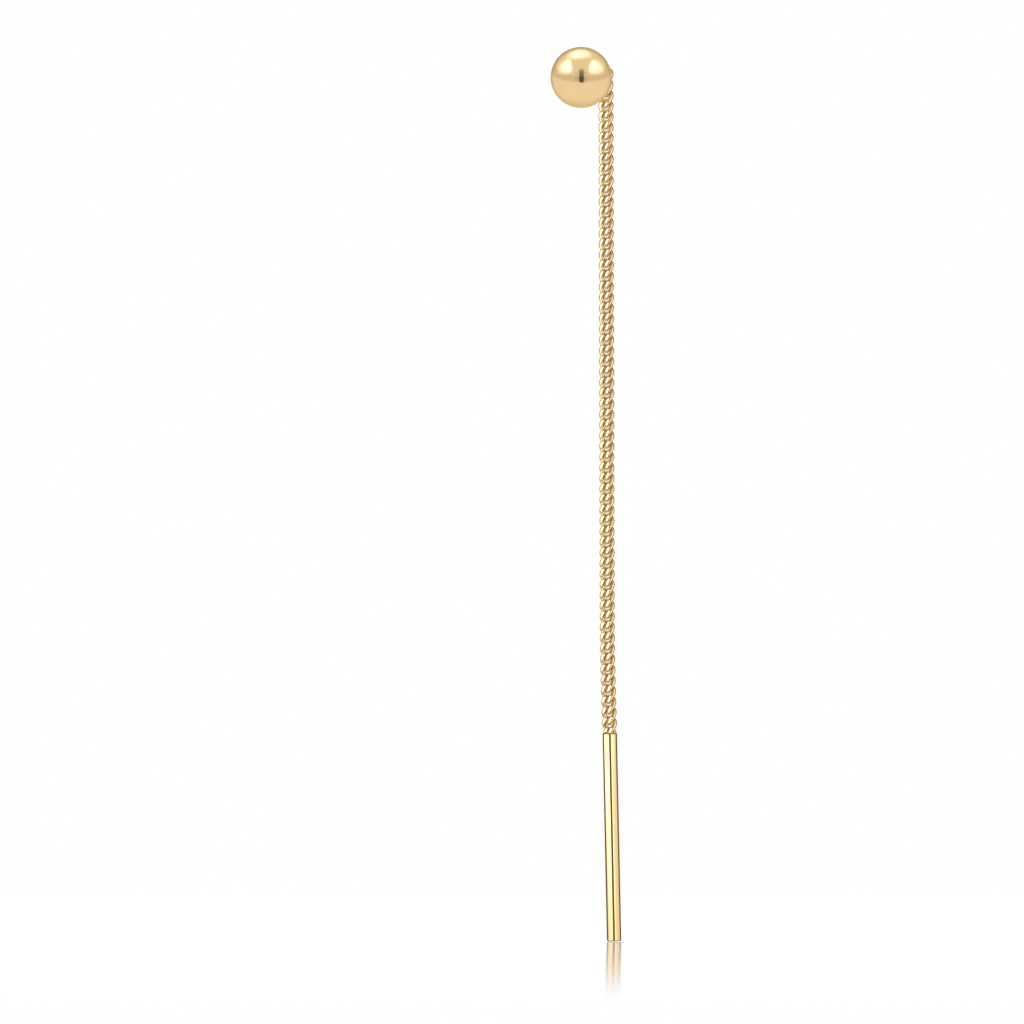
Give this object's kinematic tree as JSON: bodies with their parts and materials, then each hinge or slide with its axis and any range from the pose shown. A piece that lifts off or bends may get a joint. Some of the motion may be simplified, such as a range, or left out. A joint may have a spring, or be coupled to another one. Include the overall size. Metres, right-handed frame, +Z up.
{
  "type": "threader chain earring",
  "caption": "Threader-type drop earring: a polished ball for the front of the ear, a fine curb chain hanging from its back, and a slim round bar that is threaded through the piercing.",
  "frame": {"origin": "middle of the soldered first link, just behind the ball, where the ear's piercing is", "axes": "+Z up along the hanging chain, -Y to the front where the ball sits, +X to the right seen from the front"},
  "size_m": [0.005, 0.0066, 0.0732],
  "materials": {
    "ball_gold": "mirror-polished yellow gold plate",
    "chain_gold": "bright-dipped yellow gold plate on drawn wire",
    "bar_gold": "polished yellow gold plate on drawn rod"
  },
  "bodies": {
    "root": {"ball": "ball_gold", "chain": "chain_gold", "bar": "bar_gold"}
  },
  "joints": []
}
